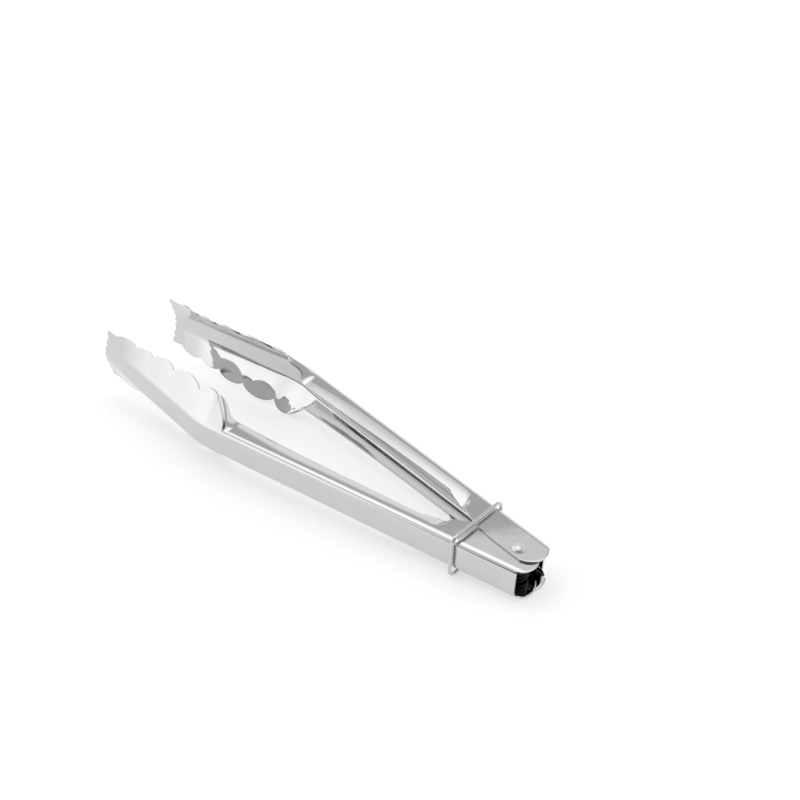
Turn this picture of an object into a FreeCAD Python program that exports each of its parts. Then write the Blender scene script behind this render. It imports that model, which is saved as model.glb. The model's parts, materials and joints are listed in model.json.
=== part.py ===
import FreeCAD, Part
import math
import os

# Spring loaded kitchen tongs: two pressed sheet arms on one rivet, pushed apart by a coiled
# torsion spring and held shut by a sliding wire ring. Millimetres, +Z along the rivet, +X along
# the middle line towards the grip ends. The tongs are drawn standing open, as the spring leaves them.
#
# Each arm is drawn in its own flat frame first: "along" runs from the rivet towards the grip end,
# "inward" runs from the outside face of the web towards the other arm, and z is up.

# ---- Sheet and overall layout ----
SHEET = 0.8                 # thickness of the stainless sheet
WEB_OFFSET = 11.5           # rivet axis to the outside face of a web
OPEN_HALF_ANGLE = 7.67      # each arm stands this many degrees off the middle line
INNER_HALF_HEIGHT = 7.4     # of the arm whose ears lie inside
EAR_GAP = 0.12              # between the sliding faces of the ears
OUTER_HALF_HEIGHT = INNER_HALF_HEIGHT + EAR_GAP + SHEET

# ---- Handle: a channel with rounded shoulders and lips that lean in ----
SHOULDER_RADIUS = 2.8
TOP_FLAT = 0.7              # narrow flat between the shoulder and the lip's crease
LIP_WIDTH = 4.5             # at the rivet end of the handle
LIP_LEAN = -13.0            # degrees above the horizontal
LIP_WIDTH_AT_HEAD = 7.2
LIP_LEAN_AT_HEAD = -7.0
EAR_TO_LIP_START = 32.0     # where the flat ear begins to fold down into the lip
EAR_TO_LIP_END = 41.0
MOUNT_FACE_START = 52.0     # the plain stretch of handle starts here
HANDLE_END = 138.0

# ---- Ears at the rivet end ----
EAR_RADIUS = 8.0
EAR_CENTRE_ALONG = -2.4
EAR_CENTRE_INWARD = EAR_RADIUS
INNER_WEB_END = -5.5        # the web stops short of the ears' round ends
OUTER_WEB_END = -4.5
EAR_SLOPE_START = 20.0      # the free edge runs almost straight up to here, then slants down
EAR_SLOPE_INWARD = 15.2
EAR_FOOT_ALONG = 33.0
EAR_FOOT_INWARD = 11.0

# ---- Grip head: the channel opens into a scalloped trough that bends inwards ----
BEND_START = 151.0
BEND_END = 163.0
BEND_ANGLE = 15.3
TIP_ALONG = 234.4
# Each station: distance along the web, shoulder radius, slope and length of the sheet that rises
# from the shoulder, then slope and length of the sheet past its fold, before it is trimmed.
HEAD_STATIONS = [
    (141.5, 2.8, 24.0, 1.0, -8.0, 7.9),
    (143.0, 2.8, 46.0, 4.7, -10.0, 4.9),
    (144.5, 2.8, 48.0, 7.0, -12.0, 3.6),
    (146.0, 2.8, 48.0, 8.9, -12.0, 3.2),
    (148.0, 2.8, 48.0, 11.2, -5.0, 2.9),
    (150.0, 3.0, 48.0, 13.3, 20.0, 2.0),
    (154.0, 3.2, 48.0, 14.7, 48.0, 1.0),
    (158.0, 3.6, 48.0, 14.6, 48.0, 0.8),
    (166.0, 4.7, 50.0, 14.0, 50.0, 4.0),
    (186.0, 6.2, 51.0, 13.0, 51.0, 4.0),
    (205.0, 7.1, 54.0, 10.0, 54.0, 4.0),
    (220.0, 8.0, 64.0, 8.0, 64.0, 4.0),
    (TIP_ALONG, 9.0, 74.0, 6.0, 74.0, 4.0),
]
SHOULDER_SHARE = 0.55       # part of a wider shoulder's growth that is taken from the web's flat
# Scallops along each flange edge, from the tip to the handle: notches, and the crests between them.
# Each is a distance along the web and a height above the middle plane.
TIP_CORNER = (TIP_ALONG, 12.3)
NOTCHES = [(227.5, 12.1), (213.7, 12.6), (201.2, 13.4), (185.5, 14.3), (166.0, 15.0)]
CRESTS = [(220.5, 14.3), (207.5, 14.5), (193.5, 16.2), (176.0, 17.5)]
LAST_CREST = (160.8, 18.4)
LAST_CREST_SHOULDER = (163.8, 17.4)
TOOTH_COUNT = 6
TOOTH_DEPTH = 0.9
TOOTH_PITCH = 3.6

# ---- Rivet ----
SHANK_RADIUS = 2.0
RIVET_CLEARANCE = 0.05
RIVET_HEAD_RADIUS = 2.95
RIVET_HEAD_HEIGHT = 1.5
RIVET_SEAT_GAP = 0.05

# ---- Torsion spring ----
SPRING_WIRE_RADIUS = 0.85
COIL_RADIUS = 4.6
COIL_TURNS = 5.5
COIL_PITCH = 1.95
LEG_REACH = 30.0
LEG_GAP = 0.2               # between a leg's end and its web
LEG_START_GAP = 0.15        # keeps a leg's solid clear of the coil's end face

# ---- Locking ring ----
RING_WIRE_RADIUS = 0.75
RING_INNER_HALF_WIDTH = 15.35
RING_INNER_HALF_HEIGHT = 9.5
RING_CORNER_RADIUS = 3.6    # of the wire's centre line
RING_ALONG = 21.0

CUT_MARGIN = 5.0            # how far a cutting tool runs past the sheet


def polar(distance, angle_deg):
    """Horizontal and vertical parts of a distance at an angle above the horizontal."""
    angle = math.radians(angle_deg)
    return distance * math.cos(angle), distance * math.sin(angle)


def surface_points(web_top, radius, first_slope, flat, second_slope, lip, depth):
    """Upper half of a section at a depth below the outside skin, as (inward, z) points.

    The points are the middle of the web, the start, middle and end of the shoulder arc, the
    crease, and the free edge.
    """
    bend = radius - depth
    centre = (radius, web_top)
    arc = []
    for share in (0.0, 0.5, 1.0):
        turn = 180.0 - share * (90.0 - first_slope)
        step_in, step_up = polar(bend, turn)
        arc.append((centre[0] + step_in, centre[1] + step_up))
    fold = math.radians(first_slope - second_slope) / 2.0
    flat_in, flat_up = polar(flat - depth * math.tan(fold), first_slope)
    crease = (arc[2][0] + flat_in, arc[2][1] + flat_up)
    lip_in, lip_up = polar(lip - depth * math.tan(fold), second_slope)
    edge = (crease[0] + lip_in, crease[1] + lip_up)
    return [arc[0], arc[1], arc[2], crease, edge]


def section(web_top, radius, first_slope, flat, second_slope, lip):
    """Closed wire of the arm's section, in the plane of inward and z; web_top is where the web ends."""
    outside = surface_points(web_top, radius, first_slope, flat, second_slope, lip, 0.0)
    inside = surface_points(web_top, radius, first_slope, flat, second_slope, lip, SHEET)

    def vector(point, side):
        return FreeCAD.Vector(0.0, point[0], side * point[1])

    def skin_edges(points, side):
        start, middle, end, crease, edge = [vector(point, side) for point in points]
        return [
            Part.Arc(start, middle, end).toShape(),
            Part.makeLine(end, crease),
            Part.makeLine(crease, edge),
        ]

    edges = [Part.makeLine(vector(outside[0], -1), vector(outside[0], 1))]
    edges += skin_edges(outside, 1)
    edges.append(Part.makeLine(vector(outside[4], 1), vector(inside[4], 1)))
    edges += reversed(skin_edges(inside, 1))
    edges.append(Part.makeLine(vector(inside[0], 1), vector(inside[0], -1)))
    edges += skin_edges(inside, -1)
    edges.append(Part.makeLine(vector(inside[4], -1), vector(outside[4], -1)))
    edges += reversed(skin_edges(outside, -1))
    return Part.Wire(Part.__sortEdges__(edges))


def bend_place(distance):
    """Place and heading, in degrees, of a station on the web's outside face."""
    if distance <= BEND_START:
        return distance, 0.0, 0.0
    bend_length = BEND_END - BEND_START
    radius = bend_length / math.radians(BEND_ANGLE)
    inside_bend = min(distance, BEND_END) - BEND_START
    heading = BEND_ANGLE * inside_bend / bend_length
    along = BEND_START + radius * math.sin(math.radians(heading))
    inward = radius * (1.0 - math.cos(math.radians(heading)))
    run_along, run_inward = polar(max(distance - BEND_END, 0.0), BEND_ANGLE)
    return along + run_along, inward + run_inward, heading


def placed_section(distance, wire):
    """Stand a section across the arm at a distance along its web."""
    along, inward, heading = bend_place(distance)
    wire = wire.copy()
    wire.rotate(FreeCAD.Vector(), FreeCAD.Vector(0, 0, 1), heading)
    wire.translate(FreeCAD.Vector(along, inward, 0))
    return wire


def loft(stations):
    """Solid through (distance, section wire) pairs."""
    wires = [placed_section(distance, wire) for distance, wire in stations]
    return Part.makeLoft(wires, True, True)


def ear_blank(half_height):
    """Flat-topped channel that holds the ears, before its outline is trimmed."""
    web_top = half_height - SHOULDER_RADIUS
    plate = EAR_RADIUS * 2.0 - SHOULDER_RADIUS - TOP_FLAT
    ear = section(web_top, SHOULDER_RADIUS, 0.0, TOP_FLAT, 0.0, plate)
    start = EAR_CENTRE_ALONG - EAR_RADIUS
    return loft([(start, ear), (EAR_TO_LIP_START, ear)])


def ear_outline():
    """Face that holds what is kept of the ears, in plan."""
    centre = FreeCAD.Vector(EAR_CENTRE_ALONG, EAR_CENTRE_INWARD, 0)
    end = FreeCAD.Vector(EAR_CENTRE_ALONG - EAR_RADIUS, EAR_CENTRE_INWARD, 0)
    web_side = centre - FreeCAD.Vector(0, EAR_RADIUS, 0)
    free_side = centre + FreeCAD.Vector(0, EAR_RADIUS, 0)
    slope_start = FreeCAD.Vector(EAR_SLOPE_START, EAR_SLOPE_INWARD, 0)
    foot = FreeCAD.Vector(EAR_FOOT_ALONG, EAR_FOOT_INWARD, 0)
    foot_on_web = FreeCAD.Vector(EAR_FOOT_ALONG, 0, 0)
    shoulder = EAR_RADIUS * math.sqrt(0.5)
    first_eighth = centre + FreeCAD.Vector(-shoulder, -shoulder, 0)
    last_eighth = centre + FreeCAD.Vector(-shoulder, shoulder, 0)
    edges = [
        Part.makeLine(foot_on_web, web_side),
        Part.Arc(web_side, first_eighth, end).toShape(),
        Part.Arc(end, last_eighth, free_side).toShape(),
        Part.makeLine(free_side, slope_start),
        Part.makeLine(slope_start, foot),
        Part.makeLine(foot, foot_on_web),
    ]
    return Part.Face(Part.Wire(edges))


def trim_ears(blank, half_height, web_end):
    """Round the ears off and cut the web square, a little short of them."""
    height = half_height * 2.0 + CUT_MARGIN * 2.0
    keep = ear_outline().extrude(FreeCAD.Vector(0, 0, height))
    keep.translate(FreeCAD.Vector(0, 0, -height / 2.0))
    ears = blank.common(keep)
    web_height = (half_height - SHEET) * 2.0
    web_cut_length = web_end - EAR_CENTRE_ALONG + EAR_RADIUS + CUT_MARGIN
    corner = FreeCAD.Vector(web_end - web_cut_length, -CUT_MARGIN, -web_height / 2.0)
    web_cut = Part.makeBox(web_cut_length, CUT_MARGIN + SHOULDER_RADIUS, web_height, corner)
    return ears.cut(web_cut)


def fold_to_lip(half_height):
    """Short stretch in which the flat ear folds down into the leaning lip."""
    web_top = half_height - SHOULDER_RADIUS
    plate = EAR_FOOT_INWARD - SHOULDER_RADIUS - TOP_FLAT
    ear = section(web_top, SHOULDER_RADIUS, 0.0, TOP_FLAT, 0.0, plate)
    return loft([(EAR_TO_LIP_START, ear), (EAR_TO_LIP_END, handle_section(half_height, EAR_TO_LIP_END))])


def handle_section(half_height, distance):
    """Section of the handle, whose lip grows wider and leans less towards the head."""
    share = max(distance - MOUNT_FACE_START, 0.0) / (HANDLE_END - MOUNT_FACE_START)
    width = LIP_WIDTH + (LIP_WIDTH_AT_HEAD - LIP_WIDTH) * share
    lean = LIP_LEAN + (LIP_LEAN_AT_HEAD - LIP_LEAN) * share
    return section(half_height - SHOULDER_RADIUS, SHOULDER_RADIUS, 0.0, TOP_FLAT, lean, width)


def scallop_edges(side):
    """Edges of the scalloped line from the tip's corner to the handle, as seen square to the web."""
    def vector(point):
        return FreeCAD.Vector(point[0], 0, side * point[1])

    edges = [Part.makeLine(vector(TIP_CORNER), vector(NOTCHES[0]))]
    for notch, crest, next_notch in zip(NOTCHES, CRESTS, NOTCHES[1:]):
        edges.append(Part.Arc(vector(notch), vector(crest), vector(next_notch)).toShape())
    edges.append(Part.Arc(vector(NOTCHES[-1]), vector(LAST_CREST_SHOULDER), vector(LAST_CREST)).toShape())
    return edges


def flange_trim(side):
    """Solid that takes away what stands above the scalloped line."""
    top = side * (LAST_CREST[1] + CUT_MARGIN * 2.0)
    tip_end = TIP_ALONG + CUT_MARGIN
    foot = FreeCAD.Vector(LAST_CREST[0], 0, side * LAST_CREST[1])
    tip_corner = FreeCAD.Vector(TIP_CORNER[0], 0, side * TIP_CORNER[1])
    past_tip = FreeCAD.Vector(tip_end, 0, side * TIP_CORNER[1])
    above_tip = FreeCAD.Vector(tip_end, 0, top)
    above_foot = FreeCAD.Vector(LAST_CREST[0], 0, top)
    edges = scallop_edges(side)
    edges.append(Part.makeLine(foot, above_foot))
    edges.append(Part.makeLine(above_foot, above_tip))
    edges.append(Part.makeLine(above_tip, past_tip))
    edges.append(Part.makeLine(past_tip, tip_corner))
    return stand_on_head(Part.Face(Part.Wire(Part.__sortEdges__(edges))))


def stand_on_head(face):
    """Turn a face drawn by distance and z into a solid tool square to the head's web."""
    face.translate(FreeCAD.Vector(-BEND_END, -CUT_MARGIN, 0))
    tool = face.extrude(FreeCAD.Vector(0, EAR_RADIUS * 2.0 + CUT_MARGIN * 2.0, 0))
    along, inward, heading = bend_place(BEND_END)
    tool.rotate(FreeCAD.Vector(), FreeCAD.Vector(0, 0, 1), heading)
    tool.translate(FreeCAD.Vector(along, inward, 0))
    return tool


def tooth_gap(height):
    """Tool for one notch between the small teeth of the tip."""
    half = TOOTH_PITCH / 2.0
    points = [
        FreeCAD.Vector(TIP_ALONG + CUT_MARGIN, 0, height - half),
        FreeCAD.Vector(TIP_ALONG, 0, height - half),
        FreeCAD.Vector(TIP_ALONG - TOOTH_DEPTH, 0, height),
        FreeCAD.Vector(TIP_ALONG, 0, height + half),
        FreeCAD.Vector(TIP_ALONG + CUT_MARGIN, 0, height + half),
    ]
    points.append(points[0])
    return stand_on_head(Part.Face(Part.makePolygon(points)))


def grip_head(half_height):
    """The open, bent and scalloped end of the arm."""
    stations = [(HANDLE_END, handle_section(half_height, HANDLE_END))]
    for distance, radius, first_slope, first_length, second_slope, second_length in HEAD_STATIONS:
        web_top = INNER_HALF_HEIGHT - SHOULDER_RADIUS - SHOULDER_SHARE * (radius - SHOULDER_RADIUS)
        head = section(web_top, radius, first_slope, first_length, second_slope, second_length)
        stations.append((distance, head))
    head = loft(stations)
    head = head.cut(flange_trim(1))
    head = head.cut(flange_trim(-1))
    first = -(TOOTH_COUNT - 1) / 2.0 * TOOTH_PITCH
    for number in range(TOOTH_COUNT):
        head = head.cut(tooth_gap(first + number * TOOTH_PITCH))
    return head


def arm(half_height, web_end):
    """One whole arm in its own frame, with the rivet axis at the origin."""
    ears = trim_ears(ear_blank(half_height), half_height, web_end)
    near_handle = loft([
        (EAR_TO_LIP_END, handle_section(half_height, EAR_TO_LIP_END)),
        (MOUNT_FACE_START, handle_section(half_height, MOUNT_FACE_START)),
    ])
    handle = loft([
        (MOUNT_FACE_START, handle_section(half_height, MOUNT_FACE_START)),
        (HANDLE_END, handle_section(half_height, HANDLE_END)),
    ])
    whole = ears.fuse([fold_to_lip(half_height), near_handle, handle, grip_head(half_height)])
    whole.translate(FreeCAD.Vector(0, -WEB_OFFSET, 0))
    bore_height = half_height * 2.0 + CUT_MARGIN
    bore_start = FreeCAD.Vector(0, 0, -bore_height / 2.0)
    return whole.cut(Part.makeCylinder(SHANK_RADIUS + RIVET_CLEARANCE, bore_height, bore_start))


def inner_arm():
    """The arm on the +Y side, whose ears lie inside."""
    shape = arm(INNER_HALF_HEIGHT, INNER_WEB_END)
    shape = shape.mirror(FreeCAD.Vector(), FreeCAD.Vector(0, 1, 0))
    shape.rotate(FreeCAD.Vector(), FreeCAD.Vector(0, 0, 1), OPEN_HALF_ANGLE)
    return shape


def outer_arm():
    """The arm on the -Y side, whose ears lie outside."""
    shape = arm(OUTER_HALF_HEIGHT, OUTER_WEB_END)
    shape.rotate(FreeCAD.Vector(), FreeCAD.Vector(0, 0, 1), -OPEN_HALF_ANGLE)
    return shape


def rivet_head():
    """Low dome of the rivet, standing on z = 0."""
    sphere_radius = (RIVET_HEAD_RADIUS ** 2 + RIVET_HEAD_HEIGHT ** 2) / (2.0 * RIVET_HEAD_HEIGHT)
    centre = FreeCAD.Vector(0, 0, RIVET_HEAD_HEIGHT - sphere_radius)
    dome = Part.makeSphere(sphere_radius, centre)
    return dome.common(Part.makeCylinder(RIVET_HEAD_RADIUS, RIVET_HEAD_HEIGHT))


def pivot_rivet():
    """Solid rivet with a dome on each side of the ears."""
    seat = OUTER_HALF_HEIGHT + RIVET_SEAT_GAP
    shank = Part.makeCylinder(SHANK_RADIUS, seat * 2.0, FreeCAD.Vector(0, 0, -seat))
    top = rivet_head()
    top.translate(FreeCAD.Vector(0, 0, seat))
    bottom = top.mirror(FreeCAD.Vector(), FreeCAD.Vector(0, 0, 1))
    return shank.fuse([top, bottom]).removeSplitter()


def spring_leg(side, height):
    """Straight leg from the coil to one arm's web; side is -1 or 1 along Y."""
    angle = math.radians(OPEN_HALF_ANGLE)
    offset = WEB_OFFSET - SHEET - SPRING_WIRE_RADIUS - LEG_GAP
    end_x = LEG_REACH * math.cos(angle) - offset * math.sin(angle)
    end_y = LEG_REACH * math.sin(angle) + offset * math.cos(angle)
    start = FreeCAD.Vector(LEG_START_GAP, side * COIL_RADIUS, height)
    end = FreeCAD.Vector(end_x, side * end_y, height)
    run = end - start
    return Part.makeCylinder(SPRING_WIRE_RADIUS, run.Length, start, run)


def torsion_spring():
    """Coil round the rivet, wound so that closing the arms tightens it, with a leg at each end."""
    height = COIL_TURNS * COIL_PITCH
    path = Part.makeHelix(COIL_PITCH, height, COIL_RADIUS)
    path.rotate(FreeCAD.Vector(), FreeCAD.Vector(0, 0, 1), 90.0)
    path.translate(FreeCAD.Vector(0, 0, -height / 2.0))
    start = FreeCAD.Vector(0, COIL_RADIUS, -height / 2.0)
    profile = Part.Wire(Part.makeCircle(SPRING_WIRE_RADIUS, start, FreeCAD.Vector(1, 0, 0)))
    coil = Part.Wire(path.Edges).makePipeShell([profile], True, True)
    return Part.makeCompound([coil, spring_leg(1, -height / 2.0), spring_leg(-1, height / 2.0)])


def lock_ring():
    """Rounded rectangle of wire round both arms."""
    half_width = RING_INNER_HALF_WIDTH + RING_WIRE_RADIUS
    half_height = RING_INNER_HALF_HEIGHT + RING_WIRE_RADIUS
    flat_y = half_width - RING_CORNER_RADIUS
    flat_z = half_height - RING_CORNER_RADIUS
    edges = []
    corner_ends = []
    for side_y, side_z, first in [(1, 1, 0.0), (-1, 1, 90.0), (-1, -1, 180.0), (1, -1, 270.0)]:
        points = []
        for turn in (first, first + 45.0, first + 90.0):
            step_y, step_z = polar(RING_CORNER_RADIUS, turn)
            points.append(FreeCAD.Vector(0, side_y * flat_y + step_y, side_z * flat_z + step_z))
        edges.append(Part.Arc(points[0], points[1], points[2]).toShape())
        corner_ends.append((points[0], points[2]))
    for (_, straight_start), (straight_end, _) in zip(corner_ends, corner_ends[1:] + corner_ends[:1]):
        edges.append(Part.makeLine(straight_start, straight_end))
    path = Part.Wire(Part.__sortEdges__(edges))
    start = path.Vertexes[0].Point
    tangent = path.Edges[0].tangentAt(path.Edges[0].FirstParameter)
    profile = Part.Wire(Part.makeCircle(RING_WIRE_RADIUS, start, tangent))
    ring = path.makePipeShell([profile], True, True)
    ring.translate(FreeCAD.Vector(RING_ALONG, 0, 0))
    return ring


def main():
    """Build every piece, stand them on z = 0 about the origin, and write them out."""
    os.makedirs("parts", exist_ok=True)
    pieces = {
        "inner_arm": inner_arm(),
        "outer_arm": outer_arm(),
        "pivot_rivet": pivot_rivet(),
        "torsion_spring": torsion_spring(),
        "lock_ring": lock_ring(),
    }
    box = Part.makeCompound(list(pieces.values())).optimalBoundingBox(True)
    to_frame = FreeCAD.Vector(-(box.XMin + box.XMax) / 2.0, -(box.YMin + box.YMax) / 2.0, -box.ZMin)
    print("rivet axis at x %.3f y %.3f z %.3f" % (to_frame.x, to_frame.y, to_frame.z))
    print("size %.2f x %.2f x %.2f" % (box.XLength, box.YLength, box.ZLength))
    for name, shape in pieces.items():
        shape.translate(to_frame)
        shape.exportStep("parts/%s.step" % name)
        print(name, shape.ShapeType, "solids", len(shape.Solids), "valid", shape.isValid(),
              "volume %.1f" % shape.Volume)


main()
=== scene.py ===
"""Looks of the spring loaded kitchen tongs: two mirror polished arms, rivet, coiled spring and wire ring."""

import json
import logging
import math
from dataclasses import dataclass, field
from enum import Enum

import bpy
from mathutils import Matrix, Vector


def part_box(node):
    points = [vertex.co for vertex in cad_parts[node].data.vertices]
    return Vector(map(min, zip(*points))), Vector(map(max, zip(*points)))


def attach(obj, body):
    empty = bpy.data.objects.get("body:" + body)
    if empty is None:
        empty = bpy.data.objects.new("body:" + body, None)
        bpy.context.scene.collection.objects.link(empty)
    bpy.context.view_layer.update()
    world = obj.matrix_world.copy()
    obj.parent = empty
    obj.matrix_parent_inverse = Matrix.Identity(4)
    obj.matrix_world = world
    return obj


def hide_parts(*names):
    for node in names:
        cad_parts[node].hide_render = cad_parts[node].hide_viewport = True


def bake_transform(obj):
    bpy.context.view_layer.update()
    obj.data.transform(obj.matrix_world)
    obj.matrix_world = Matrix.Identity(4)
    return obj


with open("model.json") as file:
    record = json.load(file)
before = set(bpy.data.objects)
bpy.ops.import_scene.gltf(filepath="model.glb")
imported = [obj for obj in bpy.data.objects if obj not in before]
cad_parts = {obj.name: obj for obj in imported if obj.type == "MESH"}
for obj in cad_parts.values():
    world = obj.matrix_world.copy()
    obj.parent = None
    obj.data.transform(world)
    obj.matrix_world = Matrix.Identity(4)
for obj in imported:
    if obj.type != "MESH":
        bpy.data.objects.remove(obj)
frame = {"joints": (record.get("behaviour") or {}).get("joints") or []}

logging.basicConfig(level=logging.INFO, format="%(levelname)s %(name)s: %(message)s")
log = logging.getLogger("tongs")

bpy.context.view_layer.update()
MM = 0.001
UP = Vector((0.0, 0.0, 1.0))


def joint_place(name: str) -> Vector:
    """Point on a hinge's axis, from the frame.

    Args:
        name: the joint's name.

    Returns:
        The point in metres.
    """
    for joint in frame["joints"]:
        if joint["name"] == name:
            return Vector(joint["pos_m"])
    raise KeyError(name)


PIVOT = joint_place("outer_arm_hinge")


class Side(Enum):
    """Which way an arm lies from the middle line."""

    OUTER = -1
    INNER = 1


# ---------------------------------------------------------------- small helpers


def smooth(value: float) -> float:
    """Ease from 0 to 1, flat at both ends.

    Args:
        value: share of the way, held between 0 and 1.

    Returns:
        The eased share.
    """
    value = min(max(value, 0.0), 1.0)
    return value * value * (3.0 - 2.0 * value)


def along_stations(stations: list[tuple[float, float]], place: float) -> float:
    """Smooth value between stations, with no overshoot.

    Args:
        stations: rising (place, value) pairs.
        place: where the value is wanted.

    Returns:
        The value, held constant past either end.
    """
    if place <= stations[0][0]:
        return stations[0][1]
    if place >= stations[-1][0]:
        return stations[-1][1]
    slopes = []
    for first, second in zip(stations, stations[1:]):
        slopes.append((second[1] - first[1]) / (second[0] - first[0]))
    tangents = [slopes[0]]
    for before, after in zip(slopes, slopes[1:]):
        tangents.append(0.0 if before * after <= 0.0 else 2.0 * before * after / (before + after))
    tangents.append(slopes[-1])
    for index, (first, second) in enumerate(zip(stations, stations[1:])):
        if place <= second[0]:
            length = second[0] - first[0]
            t = (place - first[0]) / length
            h00 = (1.0 + 2.0 * t) * (1.0 - t) ** 2
            h10 = t * (1.0 - t) ** 2
            h01 = t * t * (3.0 - 2.0 * t)
            h11 = t * t * (t - 1.0)
            return (h00 * first[1] + h10 * length * tangents[index]
                    + h01 * second[1] + h11 * length * tangents[index + 1])
    return stations[-1][1]


def deselect() -> None:
    """Leave nothing selected and no object in edit mode."""
    if bpy.context.object and bpy.context.object.mode != "OBJECT":
        bpy.ops.object.mode_set(mode="OBJECT")
    bpy.ops.object.select_all(action="DESELECT")


def pick(piece: bpy.types.Object) -> None:
    """Make one object the only selected and the active one.

    Args:
        piece: the object.
    """
    deselect()
    piece.select_set(True)
    bpy.context.view_layer.objects.active = piece


def apply_modifier(piece: bpy.types.Object, kind: str, **settings: object) -> None:
    """Add a modifier and apply it at once.

    Args:
        piece: the object that gets it.
        kind: the modifier's type.
        settings: its properties.
    """
    pick(piece)
    modifier = piece.modifiers.new(kind.lower(), kind)
    for key, value in settings.items():
        setattr(modifier, key, value)
    bpy.ops.object.modifier_apply(modifier=modifier.name)


def settle(piece: bpy.types.Object, name: str) -> bpy.types.Object:
    """Name a finished piece and put its place into its mesh.

    Args:
        piece: the finished object.
        name: its name, and its mesh's.

    Returns:
        The same object.
    """
    pick(piece)
    bpy.ops.object.transform_apply(location=True, rotation=True, scale=True)
    piece.name = name
    piece.data.name = name
    return piece


def shade(piece: bpy.types.Object, angle_deg: float) -> None:
    """Smooth shading with edges sharper than an angle kept sharp.

    Args:
        piece: the object.
        angle_deg: the sharpest edge that is still smoothed, in degrees.
    """
    pick(piece)
    bpy.ops.object.shade_smooth_by_angle(angle=math.radians(angle_deg))


def coat(piece: bpy.types.Object, material: bpy.types.Material) -> None:
    """Give a piece one material in place of any it has.

    Args:
        piece: the object.
        material: its finish.
    """
    piece.data.materials.clear()
    piece.data.materials.append(material)


def report(piece: bpy.types.Object) -> None:
    """Log a finished piece and its number of faces.

    Args:
        piece: the object.
    """
    log.info("%s: %d faces", piece.name, len(piece.data.polygons))


# ---------------------------------------------------------------- finishes


def linear(hex_code: str) -> tuple[float, float, float, float]:
    """Linear colour of an sRGB hex code.

    Args:
        hex_code: six hex digits.

    Returns:
        Red, green, blue and alpha.
    """
    channels = []
    for start in (0, 2, 4):
        value = int(hex_code[start:start + 2], 16) / 255.0
        channels.append(value / 12.92 if value <= 0.04045 else ((value + 0.055) / 1.055) ** 2.4)
    return channels[0], channels[1], channels[2], 1.0


def add_node(tree: bpy.types.NodeTree, kind: str, settings: dict[str, object] | None = None,
             inputs: dict[str | int, object] | None = None) -> bpy.types.Node:
    """Add a shader node.

    Args:
        tree: the node tree.
        kind: the node's type.
        settings: its properties.
        inputs: what goes into its sockets, either a value or another node's output socket.

    Returns:
        The node.
    """
    node = tree.nodes.new(kind)
    for key, value in (settings or {}).items():
        setattr(node, key, value)
    for key, value in (inputs or {}).items():
        if isinstance(value, bpy.types.NodeSocket):
            tree.links.new(value, node.inputs[key])
        else:
            node.inputs[key].default_value = value
    return node


def new_material(name: str) -> tuple[bpy.types.Material, bpy.types.NodeTree, bpy.types.Node]:
    """Empty node material with a Principled shader on its output.

    Args:
        name: the material's name.

    Returns:
        The material, its node tree and the shader.
    """
    material = bpy.data.materials.new(name)
    material.use_nodes = True
    tree = material.node_tree
    tree.nodes.clear()
    shader = add_node(tree, "ShaderNodeBsdfPrincipled")
    add_node(tree, "ShaderNodeOutputMaterial", inputs={"Surface": shader.outputs["BSDF"]})
    return material, tree, shader


SMEARED_STEEL = "C8C8C8"


@dataclass(frozen=True)
class PolishedStainless:
    """Mirror polished stainless sheet or wire.

    Buffing leaves a clear mirror with very faint lines along the piece, a slow waviness where the
    sheet was pressed, and soft smears where it was handled.
    """

    name: str
    tint: str = "CECECE"
    roughness: float = 0.035
    smear: float = 0.05
    smear_mm: float = 9.0
    wave_mm: float = 14.0
    wave_height: float = 0.010
    line_mm: float = 0.35
    line_height: float = 0.0012

    def material(self) -> bpy.types.Material:
        """Build the node material."""
        material, tree, shader = new_material(self.name)
        shader.inputs["Metallic"].default_value = 1.0
        place = add_node(tree, "ShaderNodeTexCoord").outputs["Object"]
        cloud = add_node(tree, "ShaderNodeTexNoise", {"noise_dimensions": "3D"},
                         {"Vector": place, "Scale": 1.0 / (self.smear_mm * MM), "Detail": 3.0,
                          "Roughness": 0.6})
        rough = add_node(tree, "ShaderNodeMapRange", {"interpolation_type": "SMOOTHSTEP"},
                         {"Value": cloud.outputs["Fac"], "From Min": 0.45, "From Max": 0.75,
                          "To Min": self.roughness, "To Max": self.roughness + self.smear})
        tree.links.new(rough.outputs["Result"], shader.inputs["Roughness"])
        tone = add_node(tree, "ShaderNodeMix", {"data_type": "RGBA"},
                        {"Factor": cloud.outputs["Fac"], "A": linear(self.tint),
                         "B": linear(SMEARED_STEEL)})
        tree.links.new(tone.outputs[2], shader.inputs["Base Color"])
        stretched = add_node(tree, "ShaderNodeMapping", {"vector_type": "POINT"},
                             {"Vector": place, "Scale": (0.04, 1.0, 1.0)})
        lines = add_node(tree, "ShaderNodeTexNoise", {"noise_dimensions": "3D"},
                         {"Vector": stretched.outputs["Vector"], "Scale": 1.0 / (self.line_mm * MM),
                          "Detail": 2.0})
        waves = add_node(tree, "ShaderNodeTexNoise", {"noise_dimensions": "3D"},
                         {"Vector": place, "Scale": 1.0 / (self.wave_mm * MM), "Detail": 1.0})
        low = add_node(tree, "ShaderNodeBump", None,
                       {"Height": waves.outputs["Fac"], "Strength": 1.0, "Distance": self.wave_height * MM})
        fine = add_node(tree, "ShaderNodeBump", None,
                        {"Height": lines.outputs["Fac"], "Strength": 1.0, "Distance": self.line_height * MM,
                         "Normal": low.outputs["Normal"]})
        tree.links.new(fine.outputs["Normal"], shader.inputs["Normal"])
        return material


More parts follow.
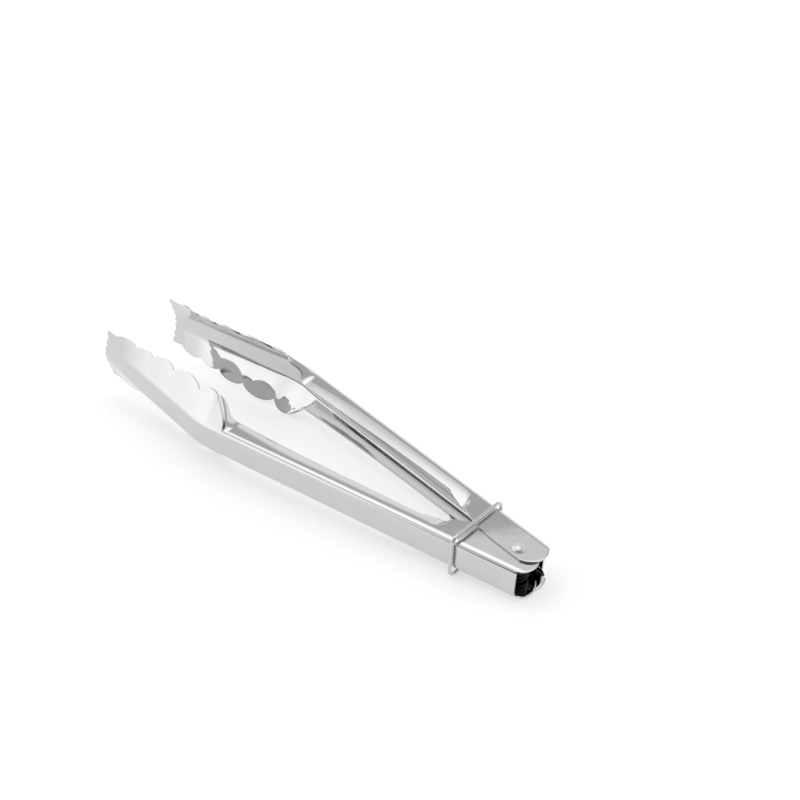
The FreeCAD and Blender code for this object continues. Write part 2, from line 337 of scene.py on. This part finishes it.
@dataclass(frozen=True)
class BlackenedWire:
    """Spring wire with a black oxide skin, a little oily, rubbed bright here and there."""

    name: str = "spring_wire_black_oxide"
    oxide: str = "161617"
    rubbed: str = "4A4A4C"
    wear_mm: float = 1.6

    def material(self) -> bpy.types.Material:
        """Build the node material."""
        material, tree, shader = new_material(self.name)
        place = add_node(tree, "ShaderNodeTexCoord").outputs["Object"]
        worn = add_node(tree, "ShaderNodeTexNoise", {"noise_dimensions": "3D"},
                        {"Vector": place, "Scale": 1.0 / (self.wear_mm * MM), "Detail": 4.0})
        share = add_node(tree, "ShaderNodeMapRange", {"interpolation_type": "SMOOTHSTEP"},
                         {"Value": worn.outputs["Fac"], "From Min": 0.58, "From Max": 0.80})
        tone = add_node(tree, "ShaderNodeMix", {"data_type": "RGBA"},
                        {"Factor": share.outputs["Result"], "A": linear(self.oxide),
                         "B": linear(self.rubbed)})
        tree.links.new(tone.outputs[2], shader.inputs["Base Color"])
        rough = add_node(tree, "ShaderNodeMapRange", None,
                         {"Value": worn.outputs["Fac"], "To Min": 0.24, "To Max": 0.42})
        tree.links.new(rough.outputs["Result"], shader.inputs["Roughness"])
        shader.inputs["Metallic"].default_value = 0.9
        return material


# ---------------------------------------------------------------- the pressed arms

SHEET = 0.8
WEB_OFFSET = 11.5
OPEN_HALF_ANGLE = 7.67
HEAD_HALF_HEIGHT = 7.4
OUTER_HALF_HEIGHT = 8.32
INNER_WEB_END = -5.5
OUTER_WEB_END = -4.5
SHOULDER_RADIUS = 2.8
TOP_FLAT = 0.7
LIP_WIDTH = 4.4
LIP_LEAN = -12.0
LIP_CURL = -2.5
CREASE_ROUND = 0.35
EAR_RADIUS = 8.0
EAR_CENTRE_ALONG = -2.4
BEND_START = 151.0
BEND_END = 163.0
BEND_ANGLE = 15.3
TIP_ALONG = 234.4
TOOTH_DEPTH = 0.9
TOOTH_PITCH = 3.6
TOOTH_SPAN = 10.8

# Lengthwise stations, as (distance along the web, value): the plate's slope, the shoulder's radius,
# the ear's free edge and the lip's and the flank's length.
SLOPE_STATIONS = [(158.0, 48.0), (166.0, 50.0), (186.0, 51.0), (205.0, 54.0), (220.0, 64.0),
                  (TIP_ALONG, 74.0)]
RADIUS_STATIONS = [(145.0, SHOULDER_RADIUS), (158.0, 3.6), (170.0, 5.2), (190.0, 6.4), (210.0, 7.4),
                   (TIP_ALONG, 9.0)]
FREE_EDGE_STATIONS = [(EAR_CENTRE_ALONG, 16.0), (8.0, 16.0), (20.0, 15.2), (26.0, 13.6), (31.6, 11.5),
                      (38.4, 9.7), (43.0, 8.4)]
NOTCHES = [(227.5, 12.1), (213.7, 12.6), (201.2, 13.4), (185.5, 14.3), (166.0, 15.0)]
CREST_HEIGHTS = [14.3, 14.5, 16.2, 17.5]
TIP_CORNER = (TIP_ALONG, 12.3)
FLANK_LENGTHS = [(43.0, 4.4), (60.0, 4.6), (80.0, 5.0), (100.0, 5.8), (118.0, 6.4), (138.0, 7.2),
                 (140.0, 7.4), (142.0, 8.4), (144.0, 9.4), (146.0, 11.4), (148.0, 13.4), (150.0, 14.0),
                 (154.0, 14.1)]
LAST_LOBE = [(154.0, 17.9), (157.5, 18.1), (160.8, 17.9), (163.8, 17.0), (166.0, 15.0)]
LEAN_STATIONS = [(60.0, LIP_LEAN), (105.0, LIP_LEAN), (138.0, -5.0)]
FLANK_START = 139.5
FLANK_RUN = 6.0
FLANK_REACH = 10.0
FLANK_SOFTNESS = 4.0
FLUTE_DEPTH = 0.22
FLUTES_END = 150.0
SHOULDER_SHARE = 0.55
FOLD_ALONG = 32.0
FOLD_RUN = 7.5
FOLD_INWARD = 10.5
FOLD_SOFTNESS = 2.4
EAR_REGION_END = 60.0
PLATE_STEP = 1.2
HEAD_NARROWING = (142.0, 12.0)

# Rows of the mesh, as (from, to, spacing), between the ear's rows and the tip's.
EAR_ROWS = 16
EAR_ROWS_END = 12.0
TIP_ROWS = 14
TIP_ROWS_START = 226.5
ROW_STOPS = [(EAR_ROWS_END, 30.0, 1.0), (30.0, 44.0, 0.3), (44.0, 60.0, 1.6), (60.0, 114.0, 4.2),
             (114.0, 140.0, 1.5), (140.0, 166.5, 0.35), (166.5, 184.5, 0.45), (184.5, 199.0, 0.4),
             (199.0, 212.0, 0.38), (212.0, TIP_ROWS_START, 0.4)]


class Zone(Enum):
    """Stretch of the arm's section that a column of the mesh lies in."""

    WEB = "web"
    SHOULDER = "shoulder"
    FLAT = "flat"
    CREASE = "crease"
    PLATE = "plate"


@dataclass(frozen=True)
class Column:
    """One lengthwise line of the arm's mesh."""

    side: int
    zone: Zone
    share: float


def mesh_columns() -> list[Column]:
    """Columns from the lower free edge, over the web, to the upper free edge.

    Returns:
        The columns in order.
    """
    counts = [(Zone.WEB, 5), (Zone.SHOULDER, 10), (Zone.FLAT, 2), (Zone.CREASE, 4), (Zone.PLATE, 18)]
    half = []
    for zone, count in counts:
        for step in range(1, count + 1):
            half.append(Column(1, zone, step / count))
    lower = [Column(-1, column.zone, column.share) for column in reversed(half)]
    return lower + [Column(1, Zone.WEB, 0.0)] + half


def scallop_height(distance: float) -> float:
    """Height of the flange's trimmed edge above the middle plane.

    Args:
        distance: along the web, in millimetres.

    Returns:
        The height in millimetres.
    """
    if distance >= NOTCHES[0][0]:
        share = (distance - NOTCHES[0][0]) / (TIP_CORNER[0] - NOTCHES[0][0])
        return NOTCHES[0][1] + share * (TIP_CORNER[1] - NOTCHES[0][1])
    for high, low, crest in zip(NOTCHES, NOTCHES[1:], CREST_HEIGHTS):
        if distance >= low[0]:
            share = (distance - low[0]) / (high[0] - low[0])
            chord = low[1] + share * (high[1] - low[1])
            rise = crest - (low[1] + high[1]) / 2.0
            return chord + rise * math.sqrt(max(1.0 - (2.0 * share - 1.0) ** 2, 0.0)) ** 1.3
    return along_stations(LAST_LOBE, distance)


@dataclass
class PressedArm:
    """One arm, pressed from one sheet: hinge ears, channel handle and scalloped grip head."""

    node: str
    body: str
    side: Side
    half_height: float
    web_end: float
    finish: PolishedStainless
    name: str = ""
    columns: list[Column] = field(default_factory=mesh_columns)

    def web_top(self, distance: float) -> float:
        """Height at which the web ends and the shoulder starts.

        Args:
            distance: along the web, in millimetres.

        Returns:
            The height above the middle plane, in millimetres.
        """
        handle = self.half_height - SHOULDER_RADIUS
        head = HEAD_HALF_HEIGHT - SHOULDER_RADIUS
        start, run = HEAD_NARROWING
        top = handle + (head - handle) * smooth((distance - start) / run)
        slack = (along_stations(RADIUS_STATIONS, distance) - SHOULDER_RADIUS) * SHOULDER_SHARE
        return top - slack

    def fold_share(self, distance: float, inward: float) -> float:
        """How far the flat ear has folded down into the lip, 0 to 1.

        Args:
            distance: along the web, in millimetres.
            inward: from the web's outside face, in millimetres.

        Returns:
            0 on the flat ear and 1 on the lip, across a crescent-shaped step.
        """
        crease = SHOULDER_RADIUS + TOP_FLAT
        across = min(max((FOLD_INWARD - inward) / (FOLD_INWARD - crease), 0.0), 1.0)
        arc = FOLD_ALONG + FOLD_RUN * (1.0 - math.sqrt(1.0 - across * across))
        return smooth((distance - arc + FOLD_SOFTNESS / 2.0) / FOLD_SOFTNESS)

    def flange_length(self, distance: float, crease: Vector) -> float:
        """Length of the sheet past the crease, before the free edge.

        Args:
            distance: along the web, in millimetres.
            crease: the crease, as (inward, z).

        Returns:
            The length in millimetres.
        """
        if distance < FREE_EDGE_STATIONS[-1][0]:
            reach = along_stations(FREE_EDGE_STATIONS, distance) - crease.x
            return reach / math.cos(math.radians(LIP_LEAN))
        if distance <= FLANK_LENGTHS[-1][0]:
            return along_stations(FLANK_LENGTHS, distance)
        slope = along_stations(SLOPE_STATIONS, distance)
        return (scallop_height(distance) - crease.y) / math.sin(math.radians(slope))

    def plate_slope(self, distance: float, reach: float) -> float:
        """Slope of the sheet past the crease: the lip's, the head's or between.

        Args:
            distance: along the web, in millimetres.
            reach: past the crease, in millimetres.

        Returns:
            The slope in degrees.
        """
        lean = along_stations(LEAN_STATIONS, distance) + LIP_CURL * min(reach - LIP_WIDTH / 2.0, 3.0)
        start = FLANK_START + FLANK_RUN * (reach / FLANK_REACH) ** 1.5
        share = smooth((distance - start) / FLANK_SOFTNESS)
        return lean + (along_stations(SLOPE_STATIONS, distance) - lean) * share

    def flute(self, distance: float, reach: float) -> float:
        """How far a lobe bulges out of its plate, with none past the last notch before the tip.

        Args:
            distance: along the web, in millimetres.
            reach: past the crease, in millimetres.

        Returns:
            The bulge in millimetres.
        """
        places = [notch[0] for notch in NOTCHES] + [FLUTES_END]
        for high, low in zip(places, places[1:]):
            if low <= distance < high:
                bulge = math.sin(math.pi * (distance - low) / (high - low)) ** 1.5
                return FLUTE_DEPTH * (reach / FLANK_REACH) ** 1.2 * bulge
        return 0.0

    def plate_point(self, distance: float, crease: Vector, reach: float) -> Vector:
        """Point of the outside skin past the crease, stepped along the changing slope.

        Args:
            distance: along the web, in millimetres.
            crease: the crease, as (inward, z).
            reach: past the crease, in millimetres.

        Returns:
            The point, as (inward, z).
        """
        steps = max(1, round(reach / PLATE_STEP))
        point = crease.copy()
        slope = 0.0
        for step in range(steps):
            slope = math.radians(self.plate_slope(distance, reach * (step + 0.5) / steps))
            point += Vector((math.cos(slope), math.sin(slope))) * reach / steps
        if distance < EAR_REGION_END:
            fold = self.fold_share(distance, point.x)
            return Vector((point.x, crease.y + (point.y - crease.y) * fold))
        return point + Vector((-math.sin(slope), math.cos(slope))) * self.flute(distance, reach)

    def section_point(self, column: Column, distance: float) -> tuple[float, float]:
        """Point of the outside skin, as (inward, z) in millimetres.

        Args:
            column: the mesh column.
            distance: along the web.

        Returns:
            Inward distance from the web's outside face, and height.
        """
        first = along_stations(SLOPE_STATIONS, distance) * smooth((distance - FLANK_START) / FLANK_SOFTNESS)
        radius = along_stations(RADIUS_STATIONS, distance)
        top = self.web_top(distance)
        if column.zone is Zone.WEB:
            return 0.0, column.side * column.share * top
        turn = math.radians(180.0 - (90.0 - first) * (column.share if column.zone is Zone.SHOULDER else 1.0))
        arc = Vector((radius + radius * math.cos(turn), top + radius * math.sin(turn)))
        if column.zone is Zone.SHOULDER:
            return arc.x, column.side * arc.y
        run = Vector((math.cos(math.radians(first)), math.sin(math.radians(first))))
        crease = arc + run * TOP_FLAT
        if column.zone is Zone.FLAT:
            point = arc + run * (TOP_FLAT - CREASE_ROUND) * column.share
            return point.x, column.side * point.y
        length = self.flange_length(distance, crease)
        if column.zone is Zone.CREASE:
            t = column.share
            start = crease - run * CREASE_ROUND
            end = self.plate_point(distance, crease, CREASE_ROUND)
            point = start * (1.0 - t) ** 2 + crease * 2.0 * t * (1.0 - t) + end * t * t
        else:
            near_ear = distance < EAR_REGION_END
            spread = math.sin(column.share * math.pi / 2.0) if near_ear else column.share
            point = self.plate_point(distance, crease, CREASE_ROUND + (length - CREASE_ROUND) * spread)
        return point.x, column.side * point.y

    def ear_start(self, column: Column) -> float:
        """Distance along the web at which a column starts, on the ear's rounding or the web's square end.

        Args:
            column: the mesh column.

        Returns:
            The distance in millimetres.
        """
        if column.zone is Zone.WEB:
            return self.web_end
        inward, _ = self.section_point(column, EAR_CENTRE_ALONG)
        off_centre = min(max(inward - EAR_RADIUS, -EAR_RADIUS), EAR_RADIUS)
        return min(EAR_CENTRE_ALONG - math.sqrt(EAR_RADIUS ** 2 - off_centre ** 2), self.web_end)

    def tip_end(self, column: Column) -> float:
        """Distance along the web at which a column ends, on the fine teeth of the tip.

        Args:
            column: the mesh column.

        Returns:
            The distance in millimetres.
        """
        _, height = self.section_point(column, TIP_ALONG)
        if abs(height) > TOOTH_SPAN:
            return TIP_ALONG
        wave = 0.5 + 0.5 * math.cos(2.0 * math.pi * height / TOOTH_PITCH + math.pi)
        return TIP_ALONG - TOOTH_DEPTH * wave

    def row_places(self) -> list[tuple[str, float]]:
        """Rows of the mesh from the ear to the tip.

        Returns:
            For each row its kind, and its share of that stretch or, on a plain row, its distance.
        """
        rows = [("ear", step / EAR_ROWS) for step in range(EAR_ROWS)]
        for low, high, step in ROW_STOPS:
            count = max(1, round((high - low) / step))
            rows += [("plain", low + (high - low) * number / count) for number in range(count)]
        rows += [("tip", step / TIP_ROWS) for step in range(TIP_ROWS + 1)]
        return rows

    def place(self, distance: float, inward: float, height: float) -> Vector:
        """Point of the frame from the arm's own measures, round the bend at the head.

        Args:
            distance: along the web, in millimetres.
            inward: from the web's outside face, in millimetres.
            height: above the middle plane, in millimetres.

        Returns:
            The point in metres.
        """
        if distance <= BEND_START:
            along, run, heading = distance, 0.0, 0.0
        else:
            bend = min(distance, BEND_END) - BEND_START
            radius = (BEND_END - BEND_START) / math.radians(BEND_ANGLE)
            heading = bend / radius
            along = BEND_START + radius * math.sin(heading)
            run = radius * (1.0 - math.cos(heading))
            rest = max(distance - BEND_END, 0.0)
            along += rest * math.cos(heading)
            run += rest * math.sin(heading)
        along -= inward * math.sin(heading)
        run += inward * math.cos(heading) - WEB_OFFSET
        angle = math.radians(OPEN_HALF_ANGLE)
        x = along * math.cos(angle) + run * math.sin(angle)
        y = self.side.value * (along * math.sin(angle) - run * math.cos(angle))
        return PIVOT + Vector((x, y, height)) * MM

    def build(self) -> bpy.types.Object:
        """Lay the skin out as a grid, give it its thickness and round its cut edges.

        Returns:
            The finished arm.
        """
        rows = self.row_places()
        wide = len(self.columns)
        deselect()
        bpy.ops.mesh.primitive_grid_add(x_subdivisions=wide - 1, y_subdivisions=len(rows) - 1, size=1.0)
        piece = bpy.context.object
        starts = [self.ear_start(column) for column in self.columns]
        ends = [self.tip_end(column) for column in self.columns]
        for vertex in piece.data.vertices:
            across = round((vertex.co.x + 0.5) * (wide - 1))
            row = round((vertex.co.y + 0.5) * (len(rows) - 1))
            column = self.columns[across]
            kind, amount = rows[row]
            if kind == "ear":
                distance = starts[across] + (EAR_ROWS_END - starts[across]) * amount
            elif kind == "tip":
                distance = TIP_ROWS_START + (ends[across] - TIP_ROWS_START) * amount
            else:
                distance = amount
            inward, height = self.section_point(column, distance)
            vertex.co = self.place(distance, inward, height)
        if self.side is Side.OUTER:
            pick(piece)
            bpy.ops.object.mode_set(mode="EDIT")
            bpy.ops.mesh.select_all(action="SELECT")
            bpy.ops.mesh.flip_normals()
            bpy.ops.object.mode_set(mode="OBJECT")
        apply_modifier(piece, "SOLIDIFY", thickness=SHEET * MM, offset=-1.0, use_even_offset=True)
        apply_modifier(piece, "BEVEL", width=0.12 * MM, segments=2, limit_method="ANGLE",
                       angle_limit=math.radians(50.0))
        shade(piece, 40.0)
        return settle(piece, self.name)

    def dress(self, piece: bpy.types.Object) -> None:
        """Give the arm its finish and tie it to its body."""
        coat(piece, self.finish.material())
        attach(piece, self.body)
        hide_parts(self.node)


# ---------------------------------------------------------------- hinge pieces and ring


@dataclass
class Rivet:
    """Solid rivet with a low dome each side of the ears."""

    finish: PolishedStainless
    head_radius: float = 2.95
    head_height: float = 1.5
    shank_radius: float = 2.0
    seat: float = 8.37

    def build(self) -> bpy.types.Object:
        """Spin the half outline round the hinge axis.

        Returns:
            The finished rivet.
        """
        sphere = (self.head_radius ** 2 + self.head_height ** 2) / (2.0 * self.head_height)
        points = []
        steps = 10
        reach = math.asin(self.head_radius / sphere)
        for step in range(steps + 1):
            angle = reach * step / steps
            drop = sphere * (1.0 - math.cos(angle))
            points.append((sphere * math.sin(angle), self.seat + self.head_height - drop))
        points[-1] = (self.head_radius - 0.12, points[-1][1] + 0.07)
        points.append((self.head_radius, self.seat + 0.10))
        points.append((self.head_radius - 0.05, self.seat))
        points.append((self.shank_radius, self.seat))
        outline = points + [(radius, -height) for radius, height in reversed(points)]
        deselect()
        bpy.ops.mesh.primitive_plane_add(size=1.0)
        piece = bpy.context.object
        bpy.ops.object.mode_set(mode="EDIT")
        bpy.ops.mesh.select_all(action="SELECT")
        bpy.ops.mesh.delete(type="VERT")
        bpy.ops.object.mode_set(mode="OBJECT")
        piece.data.vertices.add(len(outline))
        piece.data.edges.add(len(outline) - 1)
        for number, (radius, height) in enumerate(outline):
            piece.data.vertices[number].co = PIVOT + Vector((radius, 0.0, height)) * MM
        for number in range(len(outline) - 1):
            piece.data.edges[number].vertices = (number, number + 1)
        piece.data.update()
        piece.location = (0.0, 0.0, 0.0)
        bpy.ops.object.mode_set(mode="EDIT")
        bpy.ops.mesh.select_all(action="SELECT")
        bpy.ops.mesh.spin(steps=56, angle=2.0 * math.pi, center=PIVOT, axis=UP)
        bpy.ops.mesh.select_all(action="SELECT")
        bpy.ops.mesh.remove_doubles(threshold=0.002 * MM)
        bpy.ops.mesh.normals_make_consistent(inside=False)
        bpy.ops.object.mode_set(mode="OBJECT")
        shade(piece, 40.0)
        return settle(piece, "rivet")

    def dress(self, piece: bpy.types.Object) -> None:
        """Give the rivet its finish and tie it to its body."""
        coat(piece, self.finish.material())
        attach(piece, "pivot")
        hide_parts("pivot_rivet")


def wire_piece(name: str, points: list[Vector], radius: float, closed: bool) -> bpy.types.Object:
    """Round wire along a line of points.

    Args:
        name: the piece's name.
        points: the wire's centre line, in metres.
        radius: of the wire, in metres.
        closed: whether the ends join.

    Returns:
        The wire as a mesh object.
    """
    deselect()
    bpy.ops.curve.primitive_nurbs_path_add()
    piece = bpy.context.object
    curve = piece.data
    curve.splines.clear()
    spline = curve.splines.new("POLY")
    spline.points.add(len(points) - 1)
    for point, place in zip(spline.points, points):
        point.co = (*place, 1.0)
    spline.use_cyclic_u = closed
    curve.dimensions = "3D"
    curve.bevel_depth = radius
    curve.bevel_resolution = 6
    curve.use_fill_caps = not closed
    piece.location = (0.0, 0.0, 0.0)
    pick(piece)
    bpy.ops.object.convert(target="MESH")
    piece = bpy.context.object
    bpy.ops.object.mode_set(mode="EDIT")
    bpy.ops.mesh.select_all(action="SELECT")
    bpy.ops.mesh.remove_doubles(threshold=0.002 * MM)
    bpy.ops.mesh.normals_make_consistent(inside=False)
    bpy.ops.object.mode_set(mode="OBJECT")
    shade(piece, 50.0)
    return settle(piece, name)


@dataclass
class LockRing:
    """Bent wire loop that slides along both arms."""

    finish: PolishedStainless
    wire_radius: float = 0.75
    corner_radius: float = 3.6

    def build(self) -> bpy.types.Object:
        """Follow the frame's ring: straight sides and round corners.

        Returns:
            The finished ring.
        """
        low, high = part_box("lock_ring")
        centre = (low + high) / 2.0
        half_y = (high.y - low.y) / 2.0 - self.wire_radius * MM
        half_z = (high.z - low.z) / 2.0 - self.wire_radius * MM
        corner = self.corner_radius * MM
        points = []
        steps = 12
        for side_y, side_z, first in ((1, 1, 0.0), (-1, 1, 90.0), (-1, -1, 180.0), (1, -1, 270.0)):
            for step in range(steps + 1):
                angle = math.radians(first + 90.0 * step / steps)
                across = side_y * (half_y - corner) + corner * math.cos(angle)
                rise = side_z * (half_z - corner) + corner * math.sin(angle)
                points.append(Vector((centre.x, centre.y + across, centre.z + rise)))
        return wire_piece("wire_ring", points, self.wire_radius * MM, True)

    def dress(self, piece: bpy.types.Object) -> None:
        """Give the ring its finish and tie it to its body."""
        coat(piece, self.finish.material())
        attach(piece, "ring")
        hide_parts("lock_ring")


@dataclass
class TorsionSpring:
    """Coil round the rivet whose two legs push the arms apart."""

    finish: BlackenedWire
    wire_radius: float = 0.85
    coil_radius: float = 4.6
    turns: float = 5.5
    pitch: float = 1.95
    leg_reach: float = 30.0
    leg_gap: float = 0.2

    def leg_end(self, side: int, height: float) -> Vector:
        """End of the leg on one side.

        Args:
            side: 1 for the leg on the inner arm, -1 for the one on the outer arm.
            height: of the leg above the rivet's middle, in millimetres.

        Returns:
            The point, in millimetres from the rivet's middle.
        """
        angle = math.radians(OPEN_HALF_ANGLE)
        offset = WEB_OFFSET - SHEET - self.wire_radius - self.leg_gap
        return Vector((self.leg_reach * math.cos(angle) - offset * math.sin(angle),
                       side * (self.leg_reach * math.sin(angle) + offset * math.cos(angle)), height))

    def half(self, side: int) -> bpy.types.Object:
        """Half of the coil with its leg.

        Args:
            side: 1 for the leg on the inner arm, -1 for the one on the outer arm.

        Returns:
            The wire mesh.
        """
        total = self.turns * self.pitch
        height = -side * total / 2.0
        leg = self.leg_end(side, height)
        coil_start = Vector((0.0, side * self.coil_radius, height))
        points = [leg.lerp(coil_start, step / 12.0) for step in range(12)]
        half_turn = self.turns * math.pi
        steps = 90
        for step in range(steps + 1):
            angle = math.radians(90.0 * side) + half_turn * step / steps * side
            climb = height + side * self.pitch * self.turns / 2.0 * step / steps
            points.append(Vector((self.coil_radius * math.cos(angle), self.coil_radius * math.sin(angle),
                                  climb)))
        return wire_piece("spring_half_inner" if side > 0 else "spring_half_outer",
                          [PIVOT + point * MM for point in points], self.wire_radius * MM, False)

    def dress(self, piece: bpy.types.Object, side: int) -> None:
        """Give a half its finish and put its place into its mesh.

        Args:
            piece: the half.
            side: not used; 1 for the half on the inner arm, -1 for the one on the outer arm.
        """
        coat(piece, self.finish.material())
        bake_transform(piece)


# ---------------------------------------------------------------- studio


@dataclass
class Studio:
    """Pale floor under the resting tongs, a soft white room and the camera."""

    heading: float = 41.3
    elevation: float = 35.6
    distance: float = 0.616
    focal: float = 1278.6
    aim_along: Vector = field(default_factory=lambda: Vector((46.5, -124.7)))
    rest_tilt: float = 3.2
    view_tilt: float = 2.45
    aim_drop: float = 9.3
    rivet_height: float = 9.87

    def axes(self, tilt_deg: float) -> tuple[Vector, Vector, Vector]:
        """The room's directions, in the frame's axes.

        Args:
            tilt_deg: how far the tongs lean along their length, in degrees.

        Returns:
            Right, depth and up.
        """
        turn = math.radians(self.heading)
        tilt = math.radians(tilt_deg)
        up = Vector((math.sin(tilt), 0.0, math.cos(tilt)))
        right = Vector((-math.cos(turn) * math.cos(tilt), -math.sin(turn), math.cos(turn) * math.sin(tilt)))
        depth = up.cross(right)
        return right, depth, up

    def room_point(self, right_mm: float, depth_mm: float, up_mm: float) -> Vector:
        """Frame point of a place in the room, measured from the camera's aim.

        Args:
            right_mm: to the right, in millimetres.
            depth_mm: away from the camera, in millimetres.
            up_mm: upwards, in millimetres.

        Returns:
            The point in metres.
        """
        right, depth, up = self.axes(self.view_tilt)
        aim = self.aim_along
        step = right * (right_mm - aim.x) + depth * (depth_mm - aim.y) + up * (up_mm - self.aim_drop)
        return PIVOT + step * MM

    def build_camera(self) -> None:
        """Camera at the viewing angle, aimed at the floor."""
        right, depth, up = self.axes(self.view_tilt)
        rise = math.radians(self.elevation)
        forward = depth * math.cos(rise) - up * math.sin(rise)
        aim = self.room_point(0.0, 0.0, 0.0)
        camera_data = bpy.data.cameras.new("studio_camera")
        camera_data.sensor_width = 36.0
        camera_data.lens = self.focal / 800.0 * 36.0
        camera_data.clip_start = 0.01
        camera = bpy.data.objects.new("studio_camera", camera_data)
        bpy.context.scene.collection.objects.link(camera)
        camera_up = right.cross(forward)
        turn = Matrix((right, camera_up, -forward)).transposed().to_4x4()
        camera.matrix_world = Matrix.Translation(aim - forward * self.distance) @ turn
        bpy.context.scene.camera = camera

    def build_floor(self) -> None:
        """Wide pale floor, level in the room."""
        right, depth, up = self.axes(self.rest_tilt)
        deselect()
        bpy.ops.mesh.primitive_plane_add(size=6.0)
        floor = bpy.context.object
        turn = Matrix((right, depth, up)).transposed().to_4x4()
        floor.matrix_world = Matrix.Translation(PIVOT - up * self.rivet_height * MM) @ turn
        material, tree, shader = new_material("floor_white_card")
        place = add_node(tree, "ShaderNodeTexCoord").outputs["Object"]
        grain = add_node(tree, "ShaderNodeTexNoise", None, {"Vector": place, "Scale": 60.0, "Detail": 3.0})
        tone = add_node(tree, "ShaderNodeMix", {"data_type": "RGBA"},
                        {"Factor": grain.outputs["Fac"], "A": linear("C4C4C4"), "B": linear("C8C8C8")})
        tree.links.new(tone.outputs[2], shader.inputs["Base Color"])
        shader.inputs["Roughness"].default_value = 0.9
        shader.inputs["Specular IOR Level"].default_value = 0.1
        shader.inputs["Emission Color"].default_value = (1.0, 1.0, 1.0, 1.0)
        shader.inputs["Emission Strength"].default_value = 0.52
        floor.data.materials.append(material)
        floor.name = "floor"

    def build_room(self) -> None:
        """White room whose brightness changes slowly with direction, as soft boxes give it."""
        world = bpy.data.worlds.new("white_room")
        world.use_nodes = True
        bpy.context.scene.world = world
        tree = world.node_tree
        tree.nodes.clear()
        direction = add_node(tree, "ShaderNodeTexCoord").outputs["Generated"]
        right, depth, up = self.axes(self.rest_tilt)

        def part(axis: Vector) -> bpy.types.NodeSocket:
            """How far the direction leans along an axis, -1 to 1."""
            node = add_node(tree, "ShaderNodeVectorMath", {"operation": "DOT_PRODUCT"},
                            {0: direction, 1: tuple(axis)})
            return node.outputs["Value"]

        def ramp(value: bpy.types.NodeSocket, low: float, high: float) -> bpy.types.NodeSocket:
            """Soft step of a value."""
            node = add_node(tree, "ShaderNodeMapRange", {"interpolation_type": "SMOOTHSTEP"},
                            {"Value": value, "From Min": low, "From Max": high})
            return node.outputs["Result"]

        def mix(share: bpy.types.NodeSocket, first: float | bpy.types.NodeSocket,
                second: float | bpy.types.NodeSocket) -> bpy.types.NodeSocket:
            """Value between two, by share."""
            node = add_node(tree, "ShaderNodeMix", {"data_type": "FLOAT"}, {0: share, 2: first, 3: second})
            return node.outputs[0]

        lift = part(up)
        deep = part(depth)
        side = part(right)
        wall = mix(ramp(lift, 0.38, 0.54), 1.1, 0.60)
        wall = mix(ramp(lift, 0.78, 0.90), wall, 1.3)
        left = mix(ramp(lift, 0.02, 0.42), 1.15, 1.55)
        left = mix(ramp(lift, 0.48, 0.62), left, 1.1)
        wall = mix(ramp(side, -0.45, -0.75), wall, left)
        dark_front = ramp(deep, -0.42, -0.60)
        above = ramp(lift, 0.10, 0.30)
        shade_share = add_node(tree, "ShaderNodeMath", {"operation": "MULTIPLY"},
                               {0: dark_front, 1: above})
        level = mix(shade_share.outputs[0], wall, 0.10)
        seen = add_node(tree, "ShaderNodeLightPath").outputs["Is Camera Ray"]
        level = mix(seen, level, 1.0)
        back = add_node(tree, "ShaderNodeBackground", None,
                        {"Color": (1.0, 1.0, 1.0, 1.0), "Strength": level})
        add_node(tree, "ShaderNodeOutputWorld", None, {"Surface": back.outputs["Background"]})

    def build_lamp(self) -> None:
        """Big overhead soft box that gives the floor its soft shadow."""
        up = self.axes(self.rest_tilt)[2]
        lamp_data = bpy.data.lights.new("overhead_softbox", "AREA")
        lamp_data.shape = "RECTANGLE"
        lamp_data.size = 1.6
        lamp_data.size_y = 1.2
        lamp_data.energy = 2.0
        lamp = bpy.data.objects.new("overhead_softbox", lamp_data)
        bpy.context.scene.collection.objects.link(lamp)
        place = self.room_point(-100.0, 350.0, 1300.0)
        aim = self.room_point(0.0, 0.0, 0.0)
        away = (place - aim).normalized()
        side = up.cross(away).normalized()
        turn = Matrix((side, away.cross(side), away)).transposed().to_4x4()
        lamp.matrix_world = Matrix.Translation(place) @ turn


def main() -> None:
    """Build the tongs and the studio, and report each piece."""
    bpy.context.scene.view_settings.view_transform = "Standard"
    studio = Studio()
    studio.build_camera()
    studio.build_floor()
    studio.build_room()
    studio.build_lamp()
    sheet = PolishedStainless("stainless_sheet_mirror_polished")
    arms = [
        PressedArm("outer_arm", "outer", Side.OUTER, OUTER_HALF_HEIGHT, OUTER_WEB_END, sheet,
                   "pressed_arm_outer"),
        PressedArm("inner_arm", "inner", Side.INNER, HEAD_HALF_HEIGHT, INNER_WEB_END, sheet,
                   "pressed_arm_inner"),
    ]
    for arm in arms:
        piece = arm.build()
        arm.dress(piece)
        report(piece)
    rivet = Rivet(PolishedStainless("rivet_stainless_tumbled", tint="E4E4E3", roughness=0.34,
                                    smear=0.06))
    piece = rivet.build()
    rivet.dress(piece)
    report(piece)
    ring = LockRing(PolishedStainless("ring_wire_bright_drawn", roughness=0.06, smear=0.03))
    piece = ring.build()
    ring.dress(piece)
    report(piece)
    spring = TorsionSpring(BlackenedWire())
    for side in (1, -1):
        piece = spring.half(side)
        spring.dress(piece, side)
        report(piece)
    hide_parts("torsion_spring")


if __name__ == "__main__":
    main()
